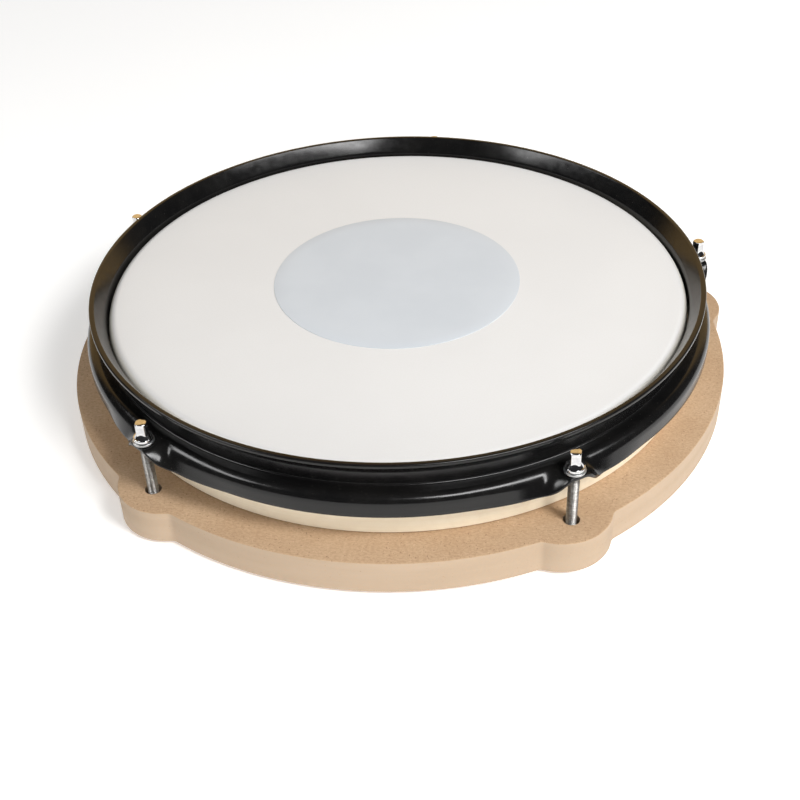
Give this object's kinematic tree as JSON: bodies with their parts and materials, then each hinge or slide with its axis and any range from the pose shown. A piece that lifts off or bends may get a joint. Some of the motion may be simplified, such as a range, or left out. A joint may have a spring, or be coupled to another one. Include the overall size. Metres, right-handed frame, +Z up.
{
  "type": "drum practice pad",
  "caption": "Round drum practice pad: white film head on a foam core, black metal counter hoop and square-headed tension rods on a scalloped board.",
  "frame": {"origin": "on the pad's centre line, at the underside it rests on", "axes": "+Z up, square to the playing surface; one lug lies on +Y"},
  "size_m": [0.3582, 0.3654, 0.0651],
  "materials": {
    "fibreboard": "bare medium-density fibreboard, matt, finely speckled",
    "pale_wood": "bare pale wood edge, matt",
    "support_board": "bare board, matt",
    "foam": "dense foam rubber, matt",
    "coated_film": "white coated polyester film, satin",
    "dot_film": "pale blue-grey film, satin",
    "black_enamel": "gloss black enamel on steel",
    "flesh_hoop_alloy": "plain mill aluminium",
    "chromed_steel": "bright chrome heads, duller rolled thread",
    "zinc_steel": "zinc-plated steel",
    "grip_rubber": "black non-slip sheet, matt"
  },
  "bodies": {
    "pad_base": {"grip_sheet": "grip_rubber", "base_board": "fibreboard", "riser_disc": "pale_wood", "support_disc": "support_board", "foam_pad": "foam", "drum_head": "coated_film", "centre_dot": "dot_film", "flesh_hoop": "flesh_hoop_alloy", "t_nut_1": "zinc_steel", "t_nut_2": "zinc_steel", "t_nut_3": "zinc_steel", "t_nut_4": "zinc_steel", "t_nut_5": "zinc_steel", "riser_screw_1": "zinc_steel", "riser_screw_2": "zinc_steel", "riser_screw_3": "zinc_steel", "riser_screw_4": "zinc_steel", "riser_screw_5": "zinc_steel"},
    "hoop": {"counter_hoop": "black_enamel", "rod_washer_1": "chromed_steel", "rod_washer_2": "chromed_steel", "rod_washer_3": "chromed_steel", "rod_washer_4": "chromed_steel", "rod_washer_5": "chromed_steel"},
    "rod_1": {"tension_rod_1": "chromed_steel"},
    "rod_2": {"tension_rod_2": "chromed_steel"},
    "rod_3": {"tension_rod_3": "chromed_steel"},
    "rod_4": {"tension_rod_4": "chromed_steel"},
    "rod_5": {"tension_rod_5": "chromed_steel"}
  },
  "joints": [
    {"name": "hoop_lift", "type": "slide", "parent": "pad_base", "child": "hoop", "axis": [0, 0, 1], "range_m": [0, 0.01]},
    {"name": "rod_1_turn", "type": "hinge", "parent": "hoop", "child": "rod_1", "pos_m": [0.16311, 0.053, 0.0489], "axis": [0, 0, 1], "range_deg": [0, 3405]},
    {"name": "rod_2_turn", "type": "hinge", "parent": "hoop", "child": "rod_2", "pos_m": [0, 0.1715, 0.0489], "axis": [0, 0, 1], "range_deg": [0, 3405]},
    {"name": "rod_3_turn", "type": "hinge", "parent": "hoop", "child": "rod_3", "pos_m": [-0.16311, 0.053, 0.0489], "axis": [0, 0, 1], "range_deg": [0, 3405]},
    {"name": "rod_4_turn", "type": "hinge", "parent": "hoop", "child": "rod_4", "pos_m": [-0.10081, -0.13875, 0.0489], "axis": [0, 0, 1], "range_deg": [0, 3405]},
    {"name": "rod_5_turn", "type": "hinge", "parent": "hoop", "child": "rod_5", "pos_m": [0.10081, -0.13875, 0.0489], "axis": [0, 0, 1], "range_deg": [0, 3405]}
  ],
  "couplings": [
    {"joint": "rod_1_turn", "follows": "hoop_lift", "rad_per_m": 5936.9},
    {"joint": "rod_2_turn", "follows": "hoop_lift", "rad_per_m": 5936.9},
    {"joint": "rod_3_turn", "follows": "hoop_lift", "rad_per_m": 5936.9},
    {"joint": "rod_4_turn", "follows": "hoop_lift", "rad_per_m": 5936.9},
    {"joint": "rod_5_turn", "follows": "hoop_lift", "rad_per_m": 5936.9}
  ]
}
